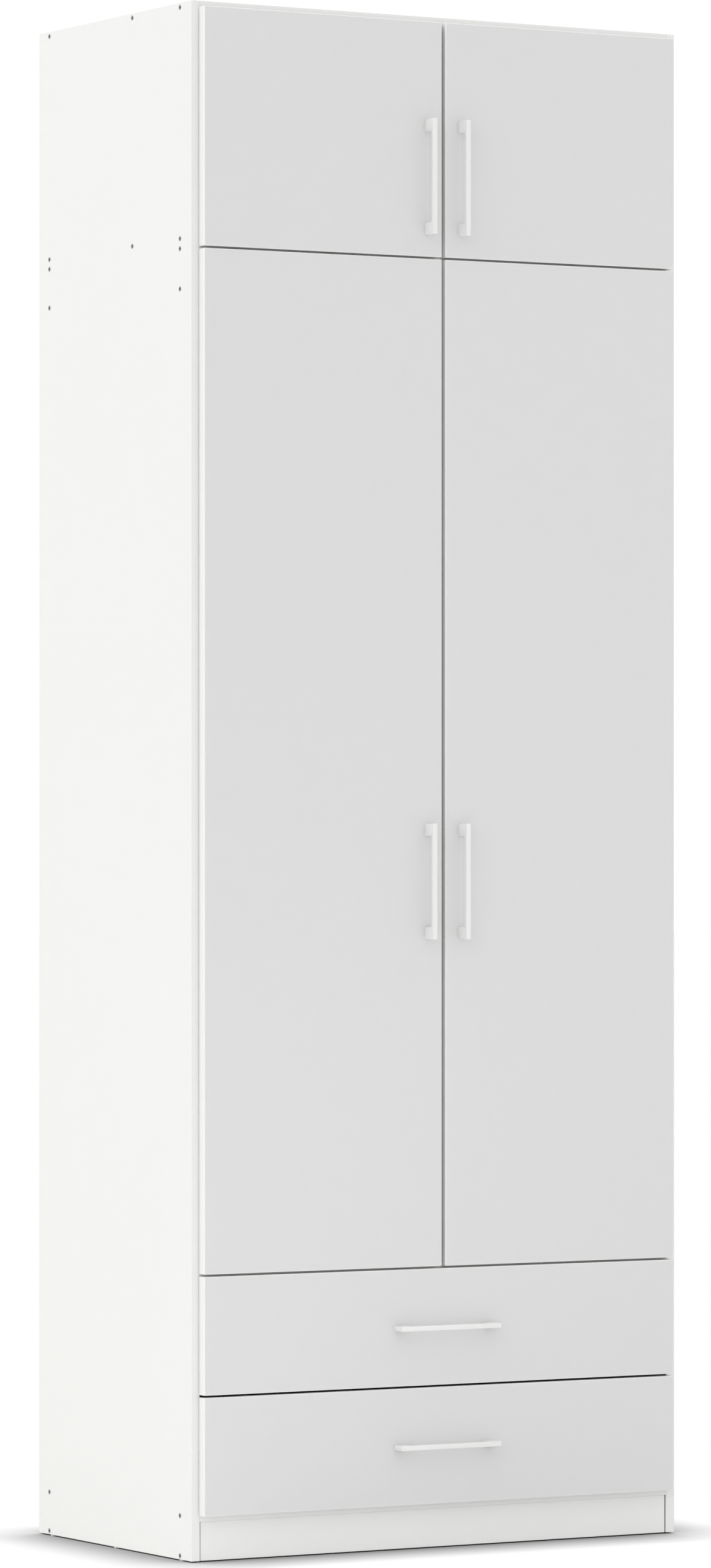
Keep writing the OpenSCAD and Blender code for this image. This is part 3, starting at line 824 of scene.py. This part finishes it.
@dataclass
class Fittings:
    """Screws, glides, brackets, hinge arms and the cabinet's runners."""

    def build(self) -> list[bpy.types.Object]:
        """Builds the carcass's fittings and dresses its screws.

        Returns:
            The fittings, then the screws.
        """
        finishes = {
            "floor_glides": MOULDED_PLASTIC,
            "wall_brackets": ZINC,
            "hinge_arms": NICKEL,
            "runners_fixed": ZINC,
        }
        made = [Hardware(node, finish).build() for node, finish in finishes.items()]
        fixed = frame["record"]["behaviour"]["bodies"][body_of("hinge_arms")]
        screws = [node for node in sorted(fixed) if node.endswith("_screws")]
        return made + [dress(node, SCREW_ZINC) for node in screws]


@dataclass
class BarHandle:
    """A square bar on two feet, made from one side outline.

    Args:
        node: The CAD node of the handle.
        bar_mm: Thickness of the bar.
        foot_mm: Length of a foot along the bar.
        arris_mm: Radius of its edges.
        arris_steps: Facets across an edge.
    """

    node: str
    bar_mm: float = 6.0
    foot_mm: float = 20.0
    arris_mm: float = 0.7
    arris_steps: int = 3

    def _outline(self, along: int, low: Vector, high: Vector) -> list[Vector]:
        """Finds the eight corners of the side outline.

        Args:
            along: The axis that the bar runs along.
            low: The handle's lowest corner.
            high: The handle's highest corner.

        Returns:
            The corners in order, at the low side of the handle's width.
        """
        foot, bar = self.foot_mm * MM, self.bar_mm * MM
        start, end = low[along], high[along]
        path = [
            (start, high.y),
            (start, low.y),
            (end, low.y),
            (end, high.y),
            (end - foot, high.y),
            (end - foot, low.y + bar),
            (start + foot, low.y + bar),
            (start + foot, high.y),
        ]
        corners = []
        for place, depth in path:
            corner = low.copy()
            corner[along] = place
            corner.y = depth
            corners.append(corner)
        return corners

    def build(self) -> bpy.types.Object:
        """Builds the handle.

        Returns:
            The finished object.
        """
        low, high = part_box(self.node)
        along = 2 if high.z - low.z > high.x - low.x else 0
        across = 2 - along
        bm = bmesh.new()
        verts = [bm.verts.new(co) for co in self._outline(along, low, high)]
        outline = bm.faces.new(verts)
        made = bmesh.ops.extrude_face_region(bm, geom=[outline])["geom"]
        shift = Vector((0, 0, 0))
        shift[across] = high[across] - low[across]
        moved = [part for part in made if isinstance(part, bmesh.types.BMVert)]
        bmesh.ops.translate(bm, vec=shift, verts=moved)
        bmesh.ops.recalc_face_normals(bm, faces=bm.faces)
        round_arrises(bm, list(bm.edges), self.arris_mm, self.arris_steps)
        return finish_piece(
            bm, f"{self.node}_bar", [self.node], [POWDER_COAT.material()], ROUND_DEGREES
        )


@dataclass
class DoorLeaf:
    """One hinged front with its handle and the moving halves of its hinges.

    Args:
        key: Which door, such as "main_left".
        band_mm: Thickness of its edge band.
        round_mm: Radius that is milled on the band.
    """

    key: str
    band_mm: float = 1.7
    round_mm: float = 1.5

    def build(self) -> list[bpy.types.Object]:
        """Builds the leaf, its handle and its half of the hinges.

        Returns:
            The leaf, then what is fixed to it.
        """
        return [
            front_board(f"door_{self.key}", self.band_mm, self.round_mm).build(),
            BarHandle(f"handle_{self.key}").build(),
            Hardware(f"cups_{self.key}", NICKEL).build(),
            Hardware(f"links_{self.key}", NICKEL).build(),
            dress(f"door_screws_{self.key}", SCREW_ZINC),
        ]


@dataclass
class Drawer:
    """One drawer: front, box, bottom, runners and handle.

    Args:
        key: Which drawer, "upper" or "lower".
        band_mm: Thickness of the front's edge band.
        round_mm: Radius that is milled on the band.
    """

    key: str
    band_mm: float = 1.7
    round_mm: float = 1.5

    def build(self) -> list[bpy.types.Object]:
        """Builds the drawer.

        Returns:
            The front, the box, then what is fixed to them.
        """
        front = front_board(f"drawer_front_{self.key}", self.band_mm, self.round_mm).build()
        sides = [
            Board(
                f"drawer_side_{side}_{self.key}",
                (Side.LEFT, Side.RIGHT),
                (Side.TOP, Side.UNDER),
            ).build()
            for side in ("left", "right")
        ]
        rear = Board(f"drawer_rear_{self.key}", (Side.FRONT, Side.REAR), (Side.TOP,)).build()
        bottom = thin_sheet(f"drawer_bottom_{self.key}", (Side.TOP, Side.UNDER)).build()
        return [
            front,
            *sides,
            rear,
            bottom,
            BarHandle(f"handle_drawer_{self.key}").build(),
            Hardware(f"drawer_runners_{self.key}", ZINC).build(),
            dress(f"drawer_fixings_{self.key}", SCREW_ZINC),
        ]


# ---------------------------------------------------------------- studio


@dataclass
class Studio:
    """Pale floor, a soft white light dome and the camera.

    Args:
        fill: Even light of the dome.
        left: Extra light of its left side.
        above: Extra light from overhead.
        low_watts: Power of the low fill panel in front, on the left.
        low_size: Width and height of that panel.
        low_at: Where it stands.
        low_tilt: Its turn about X in degrees. 90 looks level along +Y.
        low_turn: Its turn about Z in degrees.
        white: Strength of the plain white that only the camera sees behind everything.
        floor_half: Half the width of the floor.
        floor_rough: Roughness of the floor's paper.
        floor_hex: Colour of the floor.
        shade_reach: How far from the object the floor's painted contact shade reaches, in metres.
        shade_depth: How dark the painted contact shade is. 1 is even.
        shade_samples: Samples of the contact shade.
        camera_at: Where the camera stands.
        camera_turn: How far it is turned from looking along +Y, in degrees to the right.
        lens_mm: Focal length.
        film_mm: Height of the picture on the film.
        far: How far the camera sees.
        shift: Vertical shift of the lens, as a share of the picture's height.
    """

    fill: float = 0.6
    left: float = 0.76
    above: float = 0.7
    low_watts: float = 1.5
    low_size: float = 0.7
    low_at: tuple[float, float, float] = (-0.75, -1.35, 0.14)
    low_tilt: float = 100.0
    low_turn: float = -15.0
    white: float = 1.1
    floor_half: float = 60.0
    floor_rough: float = 0.9
    floor_hex: str = "F6F6F6"
    shade_reach: float = 0.14
    shade_depth: float = 1.35
    shade_samples: int = 12
    camera_at: tuple[float, float, float] = (-5.5757, -9.55505, 1.1504)
    camera_turn: float = 30.195
    lens_mm: float = 153.8
    film_mm: float = 36.0
    far: float = 200.0
    shift: float = 0.03439

    def paper(self) -> bpy.types.Material:
        """Makes the floor's white paper. The camera sees it as a painted white glow, darkened near
        the object into a soft painted contact shade.

        Returns:
            The material. It lights the object as plain matt paper.
        """
        made = bpy.data.materials.new("studio_paper_painted_shade")
        made.use_nodes = True
        tree = made.node_tree
        tree.nodes.clear()
        matt = add_node(
            tree,
            "ShaderNodeBsdfDiffuse",
            {},
            {"Color": hex_colour(self.floor_hex), "Roughness": self.floor_rough},
        ).outputs["BSDF"]
        open_share = add_node(
            tree,
            "ShaderNodeAmbientOcclusion",
            {"samples": self.shade_samples},
            {"Distance": self.shade_reach},
        ).outputs["AO"]
        shade = add_node(
            tree, "ShaderNodeMath", {"operation": "POWER"}, {0: open_share, 1: self.shade_depth}
        ).outputs["Value"]
        # Painted light: for the camera the floor is an emission, white in the open and darkened by
        # the occlusion into a painted contact shadow round the object's foot.
        white = add_node(
            tree, "ShaderNodeEmission", {}, {"Color": (1, 1, 1, 1), "Strength": shade}
        ).outputs["Emission"]
        seen = add_node(tree, "ShaderNodeLightPath").outputs["Is Camera Ray"]
        both = add_node(tree, "ShaderNodeMixShader", {}, {0: seen, 1: matt, 2: white})
        add_node(tree, "ShaderNodeOutputMaterial", {}, {"Surface": both.outputs["Shader"]})
        return made

    def floor(self) -> bpy.types.Object:
        """Lays the floor under the glides.

        Returns:
            The floor.
        """
        bm = bmesh.new()
        bmesh.ops.create_grid(bm, x_segments=1, y_segments=1, size=self.floor_half)
        mesh = bpy.data.meshes.new("studio_floor")
        bm.to_mesh(mesh)
        bm.free()
        mesh.materials.append(self.paper())
        floor = bpy.data.objects.new("studio_floor", mesh)
        bpy.context.scene.collection.objects.link(floor)
        return floor

    def dome(self) -> bpy.types.World:
        """Makes the light dome, which looks plain white from the camera.

        Returns:
            The scene's world.
        """
        world = bpy.data.worlds.new("studio_dome")
        world.use_nodes = True
        tree = world.node_tree
        tree.nodes.clear()
        towards = add_node(tree, "ShaderNodeTexCoord").outputs["Generated"]
        light = add_node(tree, "ShaderNodeValue")
        light.outputs[0].default_value = self.fill
        total = light.outputs[0]
        for direction, amount in (((-1, 0, 0), self.left), ((0, 0, 1), self.above)):
            facing = add_node(
                tree,
                "ShaderNodeVectorMath",
                {"operation": "DOT_PRODUCT"},
                {0: towards, 1: direction},
            ).outputs["Value"]
            kept = add_node(
                tree, "ShaderNodeMath", {"operation": "MAXIMUM"}, {0: facing, 1: 0.0}
            ).outputs["Value"]
            total = add_node(
                tree,
                "ShaderNodeMath",
                {"operation": "MULTIPLY_ADD"},
                {0: kept, 1: amount, 2: total},
            ).outputs["Value"]
        seen = add_node(tree, "ShaderNodeLightPath").outputs["Is Camera Ray"]
        strength = add_node(
            tree, "ShaderNodeMix", {"data_type": "FLOAT"}, {0: seen, 2: total, 3: self.white}
        ).outputs[0]
        sky = add_node(
            tree, "ShaderNodeBackground", {}, {"Color": (1, 1, 1, 1), "Strength": strength}
        )
        add_node(tree, "ShaderNodeOutputWorld", {}, {"Surface": sky.outputs["Background"]})
        bpy.context.scene.world = world
        return world

    def low_fill(self) -> bpy.types.Object:
        """Stands a soft panel near the floor, which lifts the lower fronts.

        Returns:
            The panel, which the camera never sees.
        """
        panel = bpy.data.lights.new("low_fill", "AREA")
        panel.shape = "SQUARE"
        panel.size = self.low_size
        panel.energy = self.low_watts
        stand = bpy.data.objects.new("low_fill", panel)
        stand.location = self.low_at
        stand.rotation_euler = Euler((math.radians(self.low_tilt), 0, math.radians(self.low_turn)))
        stand.visible_camera = False
        bpy.context.scene.collection.objects.link(stand)
        return stand

    def camera(self) -> bpy.types.Object:
        """Sets up the camera with a level, shifted lens.

        Returns:
            The scene's camera.
        """
        lens = bpy.data.cameras.new("camera")
        lens.sensor_fit = "AUTO"
        lens.sensor_width = self.film_mm
        lens.lens = self.lens_mm
        lens.shift_y = self.shift
        lens.clip_end = self.far
        camera = bpy.data.objects.new("camera", lens)
        camera.location = self.camera_at
        camera.rotation_euler = Euler((math.pi / 2, 0, -math.radians(self.camera_turn)))
        bpy.context.scene.collection.objects.link(camera)
        bpy.context.scene.camera = camera
        return camera

    def build(self) -> list[bpy.types.Object]:
        """Sets up the studio.

        Returns:
            The floor, the panel and the camera.
        """
        bpy.context.scene.view_settings.view_transform = "Standard"
        self.dome()
        return [self.floor(), self.low_fill(), self.camera()]


# ---------------------------------------------------------------- assembly


def main() -> None:
    """Builds every sub-assembly in order and reports each piece."""
    logging.basicConfig(level=logging.INFO, format="%(name)s: %(message)s")
    sections = [Carcass(), BackWall(), Interior(), Fittings()]
    sections += [DoorLeaf(key) for key in ("main_left", "main_right", "top_left", "top_right")]
    sections += [Drawer(key) for key in ("upper", "lower")]
    sections.append(Studio())
    for section in sections:
        for piece in section.build():
            LOG.info("%s: %s", type(section).__name__, piece.name)


if __name__ == "__main__":
    main()
